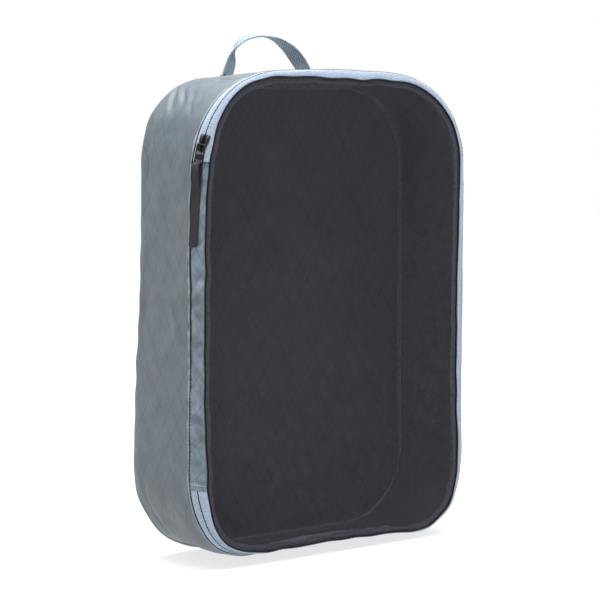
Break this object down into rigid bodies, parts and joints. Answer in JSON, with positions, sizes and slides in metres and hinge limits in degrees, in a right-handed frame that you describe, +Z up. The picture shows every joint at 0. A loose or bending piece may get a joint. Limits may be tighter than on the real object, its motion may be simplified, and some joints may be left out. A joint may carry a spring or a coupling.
{
  "type": "packing cube",
  "caption": "Soft zipped packing cube: ripstop back and sides, a sheer mesh front that opens on a side hinge strip, a corner slider with pull tab, and a webbing loop handle.",
  "frame": {"origin": "middle of the bottom of the cube standing on its short side", "axes": "+X to the right seen from the mesh front, +Y from the front to the back, +Z up towards the handle"},
  "size_m": [0.2646, 0.0794, 0.3855],
  "materials": {
    "shell_cloth": "slate grey-blue ripstop nylon with a fine darker diamond grid, slight sheen",
    "strip_cloth": "lighter grey-blue ripstop nylon, wrinkled",
    "dark_binding": "dark grey woven binding tape, matt",
    "zip_tape": "light blue twill zip tape, matt",
    "zip_coil": "dark blue-grey nylon coil",
    "mesh": "sheer black fine nylon mesh",
    "piping": "black nylon edge, matt",
    "label": "black satin label",
    "zip_metal": "dark gunmetal, satin",
    "tab_rubber": "dark brown-grey coated strap, matt",
    "webbing": "light blue-grey herringbone webbing"
  },
  "bodies": {
    "shell": {"back_panel": "shell_cloth", "side_gusset": "shell_cloth", "back_seam_binding": "dark_binding", "front_seam_binding": "dark_binding", "hinge_strip": "strip_cloth", "hinge_strip_hem": "strip_cloth", "shell_zipper_tape": "zip_tape", "shell_zipper_coil": "zip_coil", "zipper_start_stop": "zip_metal", "zipper_end_stop": "zip_metal", "handle_anchor_left": "webbing", "handle_anchor_right": "webbing"},
    "lid": {"mesh_window": "mesh", "mesh_edge_piping": "piping", "mesh_edge_binding": "dark_binding", "lid_zipper_tape": "zip_tape", "lid_zipper_coil": "zip_coil", "care_label": "label"},
    "slider": {"slider_body": "zip_metal"},
    "pull_link": {"pull_link": "zip_metal"},
    "pull_tab": {"pull_tab": "tab_rubber"},
    "handle": {"handle_webbing": "webbing"}
  },
  "joints": [
    {"name": "lid_hinge", "type": "hinge", "parent": "shell", "child": "lid", "pos_m": [-0.12, -0.039, 0.176], "axis": [0, 0, -1], "range_deg": [0, 170]},
    {"name": "slider_travel", "type": "hinge", "parent": "shell", "child": "slider", "pos_m": [-0.06, -0.0346, 0.288], "axis": [0, 1, 0], "range_deg": [0, 64]},
    {"name": "link_swing", "type": "hinge", "parent": "slider", "child": "pull_link", "pos_m": [-0.127, -0.03713, 0.30334], "axis": [-0.7544, 0.633, 0.1736], "range_deg": [0, 110]},
    {"name": "tab_swing", "type": "hinge", "parent": "pull_link", "child": "pull_tab", "pos_m": [-0.12899, -0.03545, 0.28857], "axis": [-0.7544, 0.633, 0.1736], "range_deg": [0, 65]},
    {"name": "handle_flop", "type": "hinge", "parent": "shell", "child": "handle", "pos_m": [-0.0125, 0.035, 0.35927], "axis": [1, 0, 0], "range_deg": [-80, 75]}
  ]
}
